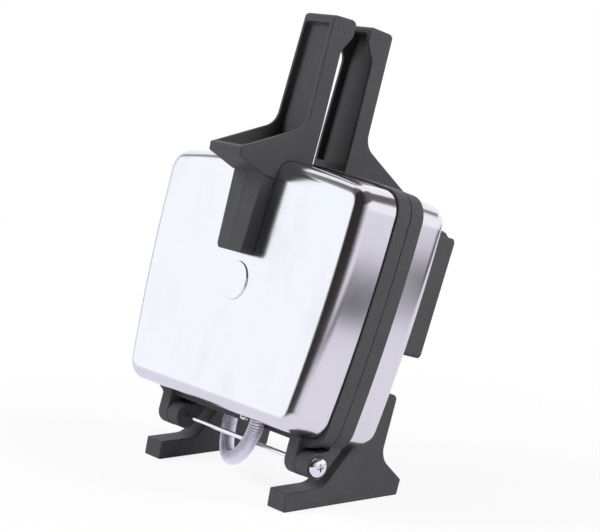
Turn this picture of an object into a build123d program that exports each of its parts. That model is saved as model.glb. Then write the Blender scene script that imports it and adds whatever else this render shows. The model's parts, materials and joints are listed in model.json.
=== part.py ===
from build123d import *
import math
import os

# Electric waffle maker, standing shut on its two feet and leaning back.
# It is modelled lying on its back, in millimetres: X runs along the hinge, Y from the hinge to
# the handles and Z out of the lid, with Z = 0 on the parting line. The last section stands it up.

# Clearances
part_gap = 0.2          # from the parting line to each half
seat_gap = 0.2          # between a piece and the surface it is screwed to
shaft_gap = 0.06        # radial, between a shaft and the bore that turns on it
side_gap = 0.4          # between pieces that turn past each other along the hinge
bolt_gap = 0.15         # radial, between a screw and its hole

# Body outline, the same for both halves
half_width = 115.0      # at Y = 0, without the bow
side_flare = 0.091      # half width gained for each millimetre towards the handles
side_bow = 4.0
outline_top = 88.5      # where the sides end
top_crown = 8.2         # rise of the top edge at its middle
outline_base = 91.3     # hinge edge
corner_radius = 18.4

# Frames and covers
frame_depth = 11.3
frame_wall = 14.0       # width of the frame's ring
lip_width = 1.0         # rim that hides the cover's edge
lip_depth = 1.2
lip_base_width = 4.3    # of the rim along the hinge edge
frame_rounding = 0.6
parting_chamfer = 0.3
lid_depth = 41.4        # parting line to the lid's face
base_depth = 35.2       # parting line to the base cover's back
cover_inset = 1.4
cover_base_inset = 4.8
cover_wall = 0.8
cover_draft = 3.0       # degrees
cover_edge_radius = 9.0
boss_radius = 14.0
boss_height = 0.9
boss_x, boss_y = 2.8, 3.6

# Cooking plates
plate_gap = 0.3         # to the frame
flange_thickness = 3.0
flange_inset = 6.5
flange_width = 11.5
plate_screw_inset = 10.6
cell_columns, cell_rows = 5, 9
cell_pitch = 15.6
cavity_depth = 7.5
cavity_rib = 8.0        # between the two waffles
cavity_y = 3.0          # middle of the waffles
cavity_draft = 12.0
stud_base = 10.4
stud_height = 4.8
stud_draft = 14.0

# Heaters, shields and wiring
heater_radius = 3.3
heater_bend = 16.0
heater_reach_x, heater_reach_y = 74.0, 52.0
heater_low_y = -48.0
terminal_x, terminal_y = 14.0, -60.0
pin_radius, pin_length = 1.6, 8.0
shield_inset = 27.0
shield_height = 8.4
shield_wall = 0.8
lead_radius = 1.3

# Hinge
hinge_y, hinge_z = -103.6, 6.4
rod_radius = 1.7
knuckle_radius = 9.3
knuckle_inner_x = 76.2  # inner face of each lid lug
lug_width = 11.2
brace_width, brace_height, brace_z = 9.0, 2.4, 5.0
barrel_width = 13.6
rod_head_radius, rod_head_height = 7.1, 4.6

# Handles
handle_width = 39.8     # at the arm
grip_top_width = 35.4
handle_taper_y = 125.0  # below it the handle keeps its full width
grip_inner_z, grip_outer_z = 14.4, 27.4
grip_top_y = 202.6
nose_z = 6.8            # top of the grip, near the other handle
nose_start_y, nose_end_y = 178.5, 190.5
nose_bend = 12.0
grip_lean = 1.0         # by which the grip's top drops towards its outer face
grip_top_rounding = 3.4
grip_corner = 4.5
arm_start_y = 119.8     # where the arm would meet the grip's outer face
tip_high_y, tip_low_y, tip_z = 93.7, 87.7, 77.0
arm_bend = 14.0
leg_outer_z = 52.5
leg_low_y, leg_high_y = 23.0, 79.8
leg_low_width, leg_high_width = 30.4, 37.0
leg_ridge = 0.4
leg_seam = 0.35         # depth of the mould's seam down the leg
rim_width = 3.0
pocket_depth = 4.5
inner_pocket_low_y = 103.0
pocket_top_wall = 7.0
inner_pocket_top_wall = 4.8
pocket_corner = 3.0
handle_screw_ys = (38.0, 64.0)

# Feet
lean_back = 15.94       # degrees
foot_outer_x, foot_width = 90.9, 20.5
toe_high_y, toe_high_z = -126.5, 17.0
toe_low_y, toe_low_z = -140.0, 15.6
heel_z, heel_high_y = -77.6, -102.2
instep_y, instep_z = -118.2, -12.2
blade_z, blade_top_y = -55.7, -45.2
foot_bend = 14.0
foot_screw_ys = (-56.0, -72.0)

# Control box on the back
box_x0, box_x1 = 25.0, 78.8
box_flare = 4.6         # by which its top is wider
box_y0, box_y1 = -17.3, 71.0
box_wall = 2.4
box_radius = 3.5
wheel_x, wheel_y, wheel_z = 70.4, 65.0, -70.7
wheel_radius, wheel_width = 9.6, 6.6
wheel_ribs = 20
spindle_radius = 2.0
gland_x, gland_z = 45.0, -58.0
gland_bore, gland_flange, gland_length = 3.6, 8.0, 16.0

# Conduit between the halves
conduit_radius = 5.5
conduit_bore = 3.6
conduit_lid_x, conduit_lid_z = 39.6, 18.5
conduit_base_x, conduit_base_z = -43.7, -18.5
conduit_end_inside = 4.0    # of the cover's hinge edge
conduit_bend_y = -88.0      # where both ends begin to bend
conduit_lid_pull = 24.5     # how far each end's direction carries on into the bend
conduit_base_pull = 60.3
rib_count = 44
rib_depth = 0.55
plain_end = 0.06        # share of the length without ribs at each end
bore_steps = 20
bush_wall, bush_flange, bush_length = 1.6, 3.0, 2.6
cover_screw_step = 16.0
cover_screw_radius, cover_screw_length = 1.6, 8.0
cover_screw_head, cover_screw_dome = 3.2, 3.0

# Fasteners
screw_m3, screw_m4, screw_m5 = 1.7, 2.0, 2.4

# Sizes that follow from the ones above
seat_z = frame_depth - lip_depth
plate_back = seat_z + plate_gap
cover_base_y = -outline_base + cover_base_inset
rim_slope = (arm_start_y - tip_high_y) / (tip_z - grip_outer_z)
heel_low_y = toe_low_y + (toe_low_z - heel_z) * math.tan(math.radians(lean_back))
rod_start_x = -(knuckle_inner_x + lug_width + side_gap)
rod_end_x = knuckle_inner_x + lug_width + side_gap + barrel_width
lid_screw_x = conduit_lid_x - cover_screw_step
base_screw_x = conduit_base_x + cover_screw_step


def outline(inset, base_inset):
    """Face of the body's outline, drawn in by inset, and by base_inset at the hinge edge."""
    low, high = base_inset - outline_base, outline_top - inset
    middle = (low + high) / 2

    def edge_x(y):
        return half_width + side_flare * y - inset

    bowed = edge_x(middle) + side_bow
    sides = [
        Line((-edge_x(low), low), (edge_x(low), low)),
        ThreePointArc((edge_x(low), low), (bowed, middle), (edge_x(high), high)),
        ThreePointArc((edge_x(high), high), (0, high + top_crown), (-edge_x(high), high)),
        ThreePointArc((-edge_x(high), high), (-bowed, middle), (-edge_x(low), low)),
    ]
    face = Face(Wire(sides))
    return fillet(face.vertices(), max(corner_radius - inset, 4.0))


def slab(inset, base_inset, z0, z1):
    """The outline as a slab between two heights."""
    return Pos(0, 0, z0) * extrude(outline(inset, base_inset), z1 - z0)


def side_profile(points, x0, x1):
    """Straight-sided profile in the YZ plane, made solid from x0 to x1."""
    plane = Plane(origin=(x0, 0, 0), x_dir=(0, 1, 0), z_dir=(1, 0, 0))
    return extrude(plane * make_face(Polyline(*points, close=True)), x1 - x0)


def edges_along_x(shape, places, reach=0.6):
    """Edges parallel to X that pass near any of the given (y, z) places."""
    return ShapeList(
        edge for edge in shape.edges().filter_by(Axis.X)
        if any(math.dist((edge.center().Y, edge.center().Z), place) < reach for place in places)
    )


def rod_x(y, z, x0, x1, radius):
    """Round bar along X."""
    return Pos((x0 + x1) / 2, y, z) * Rot(0, 90, 0) * Cylinder(radius, abs(x1 - x0))


def rod_y(x, z, y0, y1, radius):
    """Round bar along Y."""
    return Pos(x, (y0 + y1) / 2, z) * Rot(90, 0, 0) * Cylinder(radius, abs(y1 - y0))


def rod_z(x, y, z0, z1, radius):
    """Round bar along Z."""
    return Pos(x, y, (z0 + z1) / 2) * Cylinder(radius, abs(z1 - z0))


def block(x0, x1, y0, y1, z0, z1):
    """Box between two corners."""
    return Pos((x0 + x1) / 2, (y0 + y1) / 2, (z0 + z1) / 2) * Box(x1 - x0, y1 - y0, z1 - z0)


def over_back(shape):
    """The same piece for the other half: mirrored through the parting line."""
    return mirror(shape, about=Plane.XY)


def joined(shapes):
    """Separate solids kept together as one piece."""
    return Compound(list(shapes))


def pan_screw(radius, length):
    """Pan head screw along Z: the head on top of Z = 0 and the shank below it."""
    head = Cylinder(radius * 1.9, radius * 1.3, align=(Align.CENTER, Align.CENTER, Align.MIN))
    head = fillet(head.edges().sort_by(Axis.Z)[-1], radius * 0.7)
    return head + rod_z(0, 0, -length, 0.0, radius)


# Shells

def dome(inset, base_inset, height, radius):
    """Pressed shape: the outline rising with a draft to a rounded edge, from the seat up."""
    body = extrude(outline(inset, base_inset), height, taper=cover_draft)
    return Pos(0, 0, seat_z) * fillet(body.faces().sort_by(Axis.Z)[-1].edges(), radius)


def cover_envelope(depth, grow=0.0):
    """Everything inside a cover's outer skin, with each side grown."""
    return dome(cover_inset - grow, cover_base_inset - grow, depth - seat_z + grow,
                cover_edge_radius + grow)


def cover_room(depth, gap=0.0):
    """Room inside a cover's skin, kept a gap away from it."""
    skin = cover_wall + gap
    return dome(cover_inset + skin, cover_base_inset + skin, depth - seat_z - skin,
                cover_edge_radius - skin)


def make_cover(depth, conduit_x, screw_x):
    """Pressed steel cover with its holes for the handle screws and the conduit."""
    cover = cover_envelope(depth) - cover_room(depth)
    for y in handle_screw_ys:
        cover -= rod_z(0, y, depth - 3, depth + 3, screw_m5 + bolt_gap)
    low, high = cover_base_y - 3, cover_base_y + 4
    cover -= rod_y(conduit_x, conduit_lid_z, low, high, conduit_radius + 0.3)
    return cover - rod_y(screw_x, conduit_lid_z, low, high, cover_screw_radius + bolt_gap)


def make_front_cover():
    """Lid's cover, with the round boss pressed out of its face."""
    cover = make_cover(lid_depth, conduit_lid_x, lid_screw_x)
    draft = 0.35
    boss = Cone(boss_radius, boss_radius - draft, boss_height + 0.01,
                align=(Align.CENTER, Align.CENTER, Align.MIN))
    boss = fillet(boss.edges().sort_by(Axis.Z)[-1], draft)
    cover += Pos(boss_x, boss_y, lid_depth - 0.01) * boss
    hollow = Cone(boss_radius - cover_wall, boss_radius - cover_wall - draft, boss_height,
                  align=(Align.CENTER, Align.CENTER, Align.MIN))
    return cover - Pos(boss_x, boss_y, lid_depth - cover_wall) * hollow


def make_rear_cover():
    """Base's cover, with its holes for the feet, the control box and the wires."""
    cover = over_back(make_cover(base_depth, conduit_base_x, base_screw_x))
    low, high = -base_depth - 2, -base_depth + 2
    for x0 in foot_starts():
        for y in foot_screw_ys:
            cover -= rod_z(x0 + foot_width / 2, y, low, high, screw_m4 + bolt_gap)
    for x, y in box_posts():
        cover -= rod_z(x, y, low, high, screw_m4 + bolt_gap)
    return cover - block(box_x0 + 7, box_x0 + 31, -2.0, 6.0, low, high)


def frame_ring():
    """Moulded frame of one half, with the rebate that the cover's edge stands in."""
    ring = slab(0, 0, part_gap, frame_depth)
    ring = fillet(ring.faces().sort_by(Axis.Z)[-1].edges(), frame_rounding)
    ring = chamfer(ring.faces().sort_by(Axis.Z)[0].edges(), parting_chamfer)
    ring -= slab(lip_width, lip_base_width, seat_z, frame_depth + 1)
    return ring - slab(frame_wall, frame_wall, -1, frame_depth + 1)


def lid_lug(x0):
    """Lug of the lid's frame that turns on the hinge rod, braced on its outer side."""
    front, back = hinge_z + knuckle_radius, hinge_z - knuckle_radius
    web = side_profile([
        (hinge_y, front), (cover_base_y - 0.8, front), (cover_base_y - 0.8, seat_z - 0.5),
        (frame_wall - outline_base - 6, seat_z - 0.5), (frame_wall - outline_base - 6, part_gap),
        (-outline_base - 0.8, part_gap), (-outline_base - 4.0, back), (hinge_y, back),
    ], x0, x0 + lug_width)
    lug = web + rod_x(hinge_y, hinge_z, x0, x0 + lug_width, knuckle_radius)
    side = 1 if x0 > 0 else -1
    outer_x = x0 + lug_width * (side + 1) / 2
    brace = make_face(Polyline(
        (outer_x - side, -outline_base + 1), (outer_x + side * brace_width, -outline_base + 1),
        (outer_x + side * brace_width, -outline_base - 0.2), (outer_x, -outline_base - brace_height),
        (outer_x - side, -outline_base - brace_height), close=True))
    lug += Pos(0, 0, brace_z) * extrude(brace, frame_depth - frame_rounding - brace_z)
    return lug - rod_x(hinge_y, hinge_z, x0 - 1, x0 + lug_width + 1, rod_radius + shaft_gap)


def base_barrel(x0):
    """Barrel on an arm of the base's frame that carries the hinge rod."""
    x1 = x0 + barrel_width
    top, back = hinge_y + knuckle_radius - 0.9, hinge_z - knuckle_radius
    arm = side_profile([
        (top, hinge_z), (-outline_base - 0.5, -part_gap - 0.3),
        (frame_wall - outline_base - 2, -part_gap - 0.3), (frame_wall - outline_base - 2, -seat_z),
        (-outline_base + 1.0, -seat_z),
        (hinge_y, back), (hinge_y, hinge_z),
    ], x0, x1)
    barrel = arm + rod_x(hinge_y, hinge_z, x0, x1, knuckle_radius - 0.3)
    return barrel - rod_x(hinge_y, hinge_z, x0 - 1, x1 + 1, rod_radius + 0.02)


def make_front_frame():
    """Lid frame with its two lugs."""
    frame = frame_ring()
    for x0 in (knuckle_inner_x, -knuckle_inner_x - lug_width):
        frame += lid_lug(x0)
    return frame - plate_screw_holes()


def make_rear_frame():
    """Base frame with the two arms that hold the hinge rod."""
    frame = over_back(frame_ring())
    for x0 in (knuckle_inner_x + lug_width + side_gap, -knuckle_inner_x + side_gap):
        frame += base_barrel(x0)
    return frame - over_back(plate_screw_holes())


# Cooking plates

def plate_screw_places():
    """Middles of the six screws that hold a plate to its frame."""
    high = outline_top + top_crown * 0.7 - plate_screw_inset
    low = plate_screw_inset - outline_base
    side = half_width + side_bow + side_flare * 8.0 - plate_screw_inset
    return [(-66.0, high), (66.0, high), (-side, 8.0), (side, 8.0), (-60.0, low), (60.0, low)]


def plate_screw_holes():
    """Pilot holes in a frame for its plate's screws."""
    return joined(rod_z(x, y, 3.0, frame_depth + 1, screw_m3 + bolt_gap)
                  for x, y in plate_screw_places())


def waffle_cell_places():
    """Middle of each stud of both waffles."""
    first_x = cavity_rib / 2 + cell_pitch / 2
    first_y = cavity_y - (cell_rows - 1) * cell_pitch / 2
    return [(side * (first_x + column * cell_pitch), first_y + row * cell_pitch)
            for side in (-1, 1) for column in range(cell_columns) for row in range(cell_rows)]


def make_plate():
    """Cast plate of the lid: a flanged block with two studded waffle moulds."""
    plate = slab(frame_wall + plate_gap, frame_wall + plate_gap, part_gap + 0.05, plate_back)
    plate += slab(flange_inset, flange_inset, plate_back, plate_back + flange_thickness)
    back_inset = flange_inset + flange_width
    plate -= slab(back_inset, back_inset, plate_back, plate_back + flange_thickness + 1)
    width, length = cell_columns * cell_pitch, cell_rows * cell_pitch
    for side in (-1, 1):
        middle = side * (cavity_rib + width) / 2
        mould = Pos(middle, cavity_y, 0) * fillet(Rectangle(width, length).vertices(), 3.0)
        plate -= extrude(mould, cavity_depth, taper=cavity_draft)
    stud = Rot(180, 0, 0) * extrude(Rectangle(stud_base, stud_base), stud_height, taper=stud_draft)
    plate = plate.fuse(*[Pos(x, y, cavity_depth + 0.1) * stud for x, y in waffle_cell_places()])
    for x, y in plate_screw_places():
        plate -= rod_z(x, y, plate_back - 1, plate_back + 5, screw_m3 + bolt_gap)
    return plate


def bush_notch(x):
    """Cut in the flange's edge that makes room for the conduit and its bush."""
    half = conduit_radius + bush_flange + 0.7
    return block(x - half, x + half, cover_base_y, cover_base_y + conduit_end_inside + 0.5,
                 plate_back, plate_back + flange_thickness + 1)


def cover_screw_lug(x):
    """Lug on a plate's flange that takes the screw of its cover."""
    lug = block(x - 6, x + 6, cover_base_y + 1.9, -74.0, plate_back + 0.5, conduit_lid_z + 4.4)
    return lug - rod_y(x, conduit_lid_z, cover_base_y, -75.0, cover_screw_radius + bolt_gap)


def make_plate_screws():
    """Six screws through the plate's flange."""
    top = plate_back + flange_thickness + 0.05
    return joined(Pos(x, y, top) * pan_screw(screw_m3, 8.0) for x, y in plate_screw_places())


# Heating and wiring

def heater_middle_z():
    """Height of the heater's middle over the plate's back."""
    return plate_back + heater_radius + 0.1


def make_heater():
    """Tubular heater laid as one loop on the plate's back, with a pin at each end."""
    z = heater_middle_z()
    route = FilletPolyline(
        (terminal_x, terminal_y, z), (terminal_x, heater_low_y, z),
        (heater_reach_x, heater_low_y, z), (heater_reach_x + 6, heater_reach_y, z),
        (-heater_reach_x - 6, heater_reach_y, z), (-heater_reach_x, heater_low_y, z),
        (-terminal_x, heater_low_y, z), (-terminal_x, terminal_y, z),
        radius=[7.5, heater_bend, heater_bend, heater_bend, heater_bend, 7.5])
    section = Plane(route @ 0, z_dir=route % 0) * Circle(heater_radius)
    heater = sweep(section, path=route)
    for side in (-1, 1):
        heater += rod_y(side * terminal_x, z, terminal_y + 2, terminal_y - pin_length, pin_radius)
    return heater


def make_shield():
    """Shallow steel tray over the heater, notched where its ends come out."""
    z0 = plate_back + 0.1
    outer = slab(shield_inset, shield_inset, z0, z0 + shield_height)
    shield = outer - slab(shield_inset + shield_wall, shield_inset + shield_wall,
                          z0 - 1, z0 + shield_height - shield_wall)
    reach = terminal_x + heater_radius + 2.5
    return shield - block(-reach, reach, -80, heater_low_y - 8, z0 - 1, z0 + shield_height + 1)


def lead(points, bends):
    """Insulated wire along straight runs with round bends."""
    route = FilletPolyline(*points, radius=bends)
    return sweep(Plane(route @ 0, z_dir=route % 0) * Circle(lead_radius), path=route)


def make_front_leads():
    """Two wires from the lid's heater to the inner end of the conduit."""
    z, y = heater_middle_z(), terminal_y - pin_length - 0.2
    mouth = cover_base_y + cover_wall + bush_length
    wires = []
    for side, step in ((-1, -1.7), (1, 1.7)):
        over = z + 13.5 - 1.2 * step
        wires.append(lead([
            (side * terminal_x, y, z), (side * terminal_x, y - 2.8, z),
            (side * terminal_x, y - 2.8, over), (conduit_lid_x + step, y - 2.0, over),
            (conduit_lid_x + step, y - 2.0, conduit_lid_z),
            (conduit_lid_x + step, mouth - 0.6, conduit_lid_z)], 1.8))
    return joined(wires)


# Handles

def handle_side():
    """Side view of a handle's grip and arm, without its leg."""
    return [
        (60.0, grip_inner_z), (nose_start_y, grip_inner_z), (nose_end_y, nose_z),
        (grip_top_y, nose_z), (grip_top_y - grip_lean, grip_outer_z), (arm_start_y, grip_outer_z),
        (tip_high_y, tip_z), (tip_low_y, tip_z - 0.6),
        (leg_high_y, leg_outer_z + 1.0), (leg_high_y, 32.0), (60.0, 32.0),
    ]


def between_sides(inset, top_y, corner, z0, z1):
    """Room between the handle's sides, which close in towards the top, drawn in by inset."""
    narrowing = (handle_width - grip_top_width) / 2 / (grip_top_y - handle_taper_y)
    low = handle_width / 2 - inset
    high = low - narrowing * (top_y - handle_taper_y)
    face = make_face(Polyline((-low, 0), (low, 0), (low, handle_taper_y), (high, top_y),
                              (-high, top_y), (-low, handle_taper_y), close=True))
    face = fillet(face.vertices().sort_by(Axis.Y)[-2:], corner)
    return Pos(0, 0, z0) * extrude(face, z1 - z0)


def make_handle(depth):
    """Moulded handle: a hollow-faced grip, a tray-shaped arm and a leg screwed to the cover."""
    handle = side_profile(handle_side(), -handle_width, handle_width)
    handle = fillet(edges_along_x(handle, [(arm_start_y, grip_outer_z)]), arm_bend)
    handle = fillet(edges_along_x(handle, [(grip_top_y - grip_lean, grip_outer_z),
                                           (grip_top_y, nose_z)]), grip_top_rounding)
    handle = fillet(edges_along_x(handle, [(nose_start_y, grip_inner_z)]), nose_bend)
    handle = fillet(edges_along_x(handle, [(nose_end_y, nose_z)]), nose_bend / 2)
    handle &= between_sides(0, grip_top_y + 0.5, grip_corner, 0, tip_z + 5)
    rims = [edge for face in handle.faces() if abs(face.normal_at().X) > 0.9
            for edge in face.edges() if edge.center().Y > leg_high_y + 3]
    handle = fillet(rims, 1.0)
    handle += handle_leg()
    handle -= front_pocket()
    handle -= back_pocket()
    handle -= cover_envelope(depth, seat_gap)
    for y in handle_screw_ys:
        handle -= rod_z(0, y, 20.0, leg_outer_z - 3.0, screw_m5 + bolt_gap)
    return handle


def front_pocket():
    """Hollow of a handle's outer face, running from the grip down into the arm."""
    floor_z, top_y = grip_outer_z - pocket_depth, grip_top_y - pocket_top_wall
    room = side_profile([
        (top_y + 1, floor_z), (arm_start_y - 13.0, floor_z),
        (tip_low_y + 3.2, tip_z - 2.8), (tip_high_y + 12, tip_z - 2.8), (arm_start_y + 20, 50.0),
        (top_y + 1, 50.0)], -handle_width, handle_width)
    room = fillet(edges_along_x(room, [(arm_start_y - 13.0, floor_z)]), 9.0)
    return room & between_sides(rim_width, top_y, pocket_corner, 0, tip_z + 5)


def back_pocket():
    """Hollow of a handle's inner face, along the grip."""
    floor_z, top_y = grip_inner_z + pocket_depth, grip_top_y - inner_pocket_top_wall
    room = between_sides(rim_width, top_y, pocket_corner, 0, floor_z)
    room -= block(-handle_width, handle_width, -1, inner_pocket_low_y, -1, floor_z + 1)
    low_corners = [edge for edge in room.edges().filter_by(Axis.Z)
                   if edge.center().Y < inner_pocket_low_y + 1]
    return fillet(low_corners, pocket_corner - 1)


def handle_leg():
    """Tapering leg with a low ridge down its outer face and the mould's seam along the ridge."""
    def section(y, width):
        half = width / 2
        plane = Plane(origin=(0, y, 0), x_dir=(1, 0, 0), z_dir=(0, -1, 0))
        points = [(-half, 30.0), (half, 30.0), (half, leg_outer_z - leg_ridge),
                  (0, leg_outer_z), (-half, leg_outer_z - leg_ridge)]
        return plane * make_face(Polyline(*points, close=True))

    leg = loft([section(leg_low_y, leg_low_width), section(leg_high_y + 3.5, leg_high_width)],
               ruled=True)
    low = leg.faces().sort_by(Axis.Y)[0]
    corners = [edge for edge in leg.edges().filter_by(Axis.Z)
               if abs(edge.center().Y - low.center().Y) < 0.1]
    leg = fillet(corners, 4.5)
    return leg - block(-leg_seam / 2, leg_seam / 2, leg_low_y - 1, leg_high_y - 2,
                       leg_outer_z - leg_seam, leg_outer_z + 1)


def make_handle_screws(depth):
    """Two screws from inside the cover into the handle's leg."""
    inside = depth - cover_wall - 0.05
    screw = Rot(180, 0, 0) * pan_screw(screw_m5, 8.5)
    return joined(Pos(0, y, inside) * screw for y in handle_screw_ys)


# Feet

def make_foot(x0):
    """Moulded foot: a toe, a heel and a blade screwed to the back of the base cover."""
    x1 = x0 + foot_width
    blade_inner = -base_depth + 6.0
    foot = side_profile([
        (toe_high_y, toe_high_z), (toe_low_y, toe_low_z), (heel_low_y, heel_z),
        (heel_high_y, heel_z), (-90.0, blade_z), (blade_top_y, blade_z),
        (blade_top_y, blade_inner), (-84.0, -27.0), (-88.0, -27.7), (instep_y, instep_z),
    ], x0, x1)
    foot = fillet(edges_along_x(foot, [(instep_y, instep_z), (-90.0, blade_z)]), foot_bend)
    foot = fillet(edges_along_x(foot, [(blade_top_y, blade_z)]), 3.5)
    foot = fillet(edges_along_x(foot, [(toe_high_y, toe_high_z), (toe_low_y, toe_low_z),
                                       (heel_high_y, heel_z), (heel_low_y, heel_z)]), 1.2)
    outer = [edge for face in foot.faces().filter_by(Axis.X) for edge in face.edges()
             if edge.center().Z > instep_z - 16 or edge.center().Z < blade_z + 0.2]
    foot = fillet(outer, 1.0)
    foot -= over_back(cover_envelope(base_depth, seat_gap))
    middle = x0 + foot_width / 2
    for y in foot_screw_ys:
        foot -= rod_z(middle, y, blade_z - 1, -base_depth + 2, screw_m4 + bolt_gap)
        foot -= rod_z(middle, y, blade_z - 20, blade_z + 4.0, screw_m4 * 2.2)
    return foot


def foot_starts():
    """Lower X of the right and the left foot."""
    return foot_outer_x - foot_width, -foot_outer_x


def make_foot_screws():
    """Screws from behind through both feet."""
    screw = Rot(180, 0, 0) * pan_screw(screw_m4, -blade_z - base_depth + 2.0)
    return joined(Pos(x0 + foot_width / 2, y, blade_z + 3.95) * screw
                  for x0 in foot_starts() for y in foot_screw_ys)


def make_foot_nuts():
    """Nuts of the foot screws, inside the base cover."""
    z1 = -base_depth + cover_wall
    nut = extrude(RegularPolygon(3.9, 6), 2.2) - rod_z(0, 0, -1, 4, screw_m4 + bolt_gap)
    return joined(Pos(x0 + foot_width / 2, y, z1 + 0.05) * nut
                  for x0 in foot_starts() for y in foot_screw_ys)


# Control box

def box_posts():
    """Places of the box's two screw posts."""
    return [(box_x0 + 8.0, box_y0 + 8.0), (box_x0 + 8.0, box_y1 - 8.0)]


def box_outline(inset):
    """Outline of the box, wider towards its top, drawn in by inset."""
    low, high = box_y0 + inset, box_y1 - inset

    def right_x(y):
        return box_x1 + box_flare * (y - box_y0) / (box_y1 - box_y0) - inset

    face = make_face(Polyline((box_x0 + inset, low), (right_x(low), low), (right_x(high), high),
                              (box_x0 + inset, high), close=True))
    return fillet(face.vertices(), box_radius - inset / 2)


def make_control_box():
    """Moulded box, open towards the cover, with a slot for the wheel and a hole for the gland."""
    front = -base_depth - seat_gap
    outer = Pos(0, 0, heel_z) * extrude(box_outline(0), front - heel_z)
    outer = chamfer(outer.faces().sort_by(Axis.Z)[0].edges(), 1.2)
    floor_z = heel_z + box_wall
    box = outer - Pos(0, 0, floor_z) * extrude(box_outline(box_wall), front + 1 - floor_z)
    half = wheel_width / 2 + 0.7
    box -= block(wheel_x - wheel_radius, wheel_x + wheel_radius, box_y1 - box_wall - 1,
                 box_y1 + 1, wheel_z - half, wheel_z + half)
    for x, y in box_posts():
        box += rod_z(x, y, heel_z + 1, front, 4.5)
        box -= rod_z(x, y, heel_z - 1, heel_z + 4.0, screw_m4 * 2.1)
        box -= rod_z(x, y, heel_z - 1, front + 1, screw_m4 + bolt_gap)
    return box - rod_y(gland_x, gland_z, box_y0 - 1, box_y0 + box_wall + 1, gland_flange - 1.6)


def make_box_screws():
    """Screws from behind through the box's posts."""
    screw = Rot(180, 0, 0) * pan_screw(screw_m4, -heel_z - base_depth - 2.0)
    return joined(Pos(x, y, heel_z + 3.95) * screw for x, y in box_posts())


def make_thermostat():
    """Thermostat standing on the cover inside the box, with a neck for the wheel's spindle."""
    foot_z = -base_depth - seat_gap
    body = block(wheel_x - 14, wheel_x + 7, wheel_y - 24, wheel_y + 1.5, foot_z - 16, foot_z)
    body += rod_z(wheel_x - 2, wheel_y - 10, foot_z - 18, foot_z - 15, 8.0)
    body += rod_z(wheel_x, wheel_y, foot_z - 23.0, foot_z - 15.0, spindle_radius + 1.2)
    return body - rod_z(wheel_x, wheel_y, foot_z - 24.0, foot_z - 12.0,
                        spindle_radius + shaft_gap)


def make_heat_wheel():
    """Ribbed wheel on a spindle that turns in the thermostat and shows through the box's slot."""
    low, high = wheel_z - wheel_width / 2, wheel_z + wheel_width / 2
    wheel = rod_z(wheel_x, wheel_y, low, high, wheel_radius)
    cutter = Rot(0, 0, 45) * Box(1.4, 1.4, wheel_width + 1)
    cuts = [Pos(wheel_x, wheel_y, wheel_z) * place * cutter
            for place in PolarLocations(wheel_radius + 0.1, wheel_ribs)]
    wheel = wheel.cut(*cuts)
    wheel += rod_z(wheel_x, wheel_y, low - 0.6, -base_depth - 13.2, spindle_radius)
    return wheel + rod_z(wheel_x, wheel_y, high, high + 1.6, spindle_radius + 0.8)


def make_terminal_block():
    """Ceramic block on the cover inside the box, with three wire holes."""
    z1 = -base_depth - seat_gap
    body = block(box_x0 + 6, box_x0 + 32, 8.0, 22.0, z1 - 13, z1)
    for step in (0, 1, 2):
        body -= rod_y(box_x0 + 11 + 8 * step, z1 - 7, 7, 23, 2.2)
    return body


def make_cord_gland():
    """Ribbed bush for the mains lead, through the hinge side of the box."""
    def along(y0, y1, radius):
        return rod_y(gland_x, gland_z, y0, y1, radius)

    inner = box_y0 + box_wall
    gland = along(box_y0 - 2.0, box_y0 - 0.05, gland_flange)
    gland += along(box_y0 - 1.0, inner + 0.05, gland_flange - 1.7)
    gland += along(inner + 0.05, inner + 2.0, gland_flange - 0.6)
    for step in range(4):
        start = box_y0 - 2.0 - 3.2 * step
        gland += along(start - 3.4, start + 0.1, 5.0)
        gland += along(start - 3.2, start - 1.6, 6.4 - 0.3 * step)
    return gland - along(box_y0 - 2.0 - gland_length, inner + 3, gland_bore)


def make_rear_leads():
    """Wires from the base heater and from the conduit to the terminal block."""
    z, y = -heater_middle_z(), terminal_y - pin_length - 0.2
    outside, block_y = -base_depth - 7.2, 7.6
    low = -base_depth + 3.8
    wires = []
    for side, step in ((-1, 0), (1, 1)):
        x, run_z = box_x0 + 11 + 8 * step, low + 4.0 * (step + 1)
        wires.append(lead([
            (side * terminal_x, y, z), (side * terminal_x, y - 2.8, z),
            (side * terminal_x, y - 2.8, run_z), (x, y - 1.0 + 4 * step, run_z),
            (x, 2.0, run_z), (x, 2.0, outside), (x, block_y, outside)], 1.7))
    x = box_x0 + 27
    mouth = cover_base_y + cover_wall + bush_length
    wires.append(lead([
        (conduit_base_x, mouth - 0.6, conduit_base_z), (conduit_base_x, mouth + 5.0, conduit_base_z),
        (conduit_base_x + 8, mouth + 8.0, low), (x, mouth + 15.0, low),
        (x, 2.0, low), (x, 2.0, outside), (x, block_y, outside)], 1.7))
    return joined(wires)


# Hinge rod and conduit

def make_hinge_rod():
    """Rod that the lid turns on."""
    return rod_x(hinge_y, hinge_z, rod_start_x + 0.1, rod_end_x - 0.1, rod_radius)


def make_rod_heads():
    """Domed heads screwed on both ends of the rod."""
    head = Cylinder(rod_head_radius, rod_head_height, align=(Align.CENTER, Align.CENTER, Align.MIN))
    head = fillet(head.edges().sort_by(Axis.Z)[-1], rod_head_height - 1.2)
    right = Pos(rod_end_x, hinge_y, hinge_z) * Rot(0, 90, 0) * head
    left = Pos(rod_start_x, hinge_y, hinge_z) * Rot(0, -90, 0) * head
    return joined([right, left])


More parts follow.
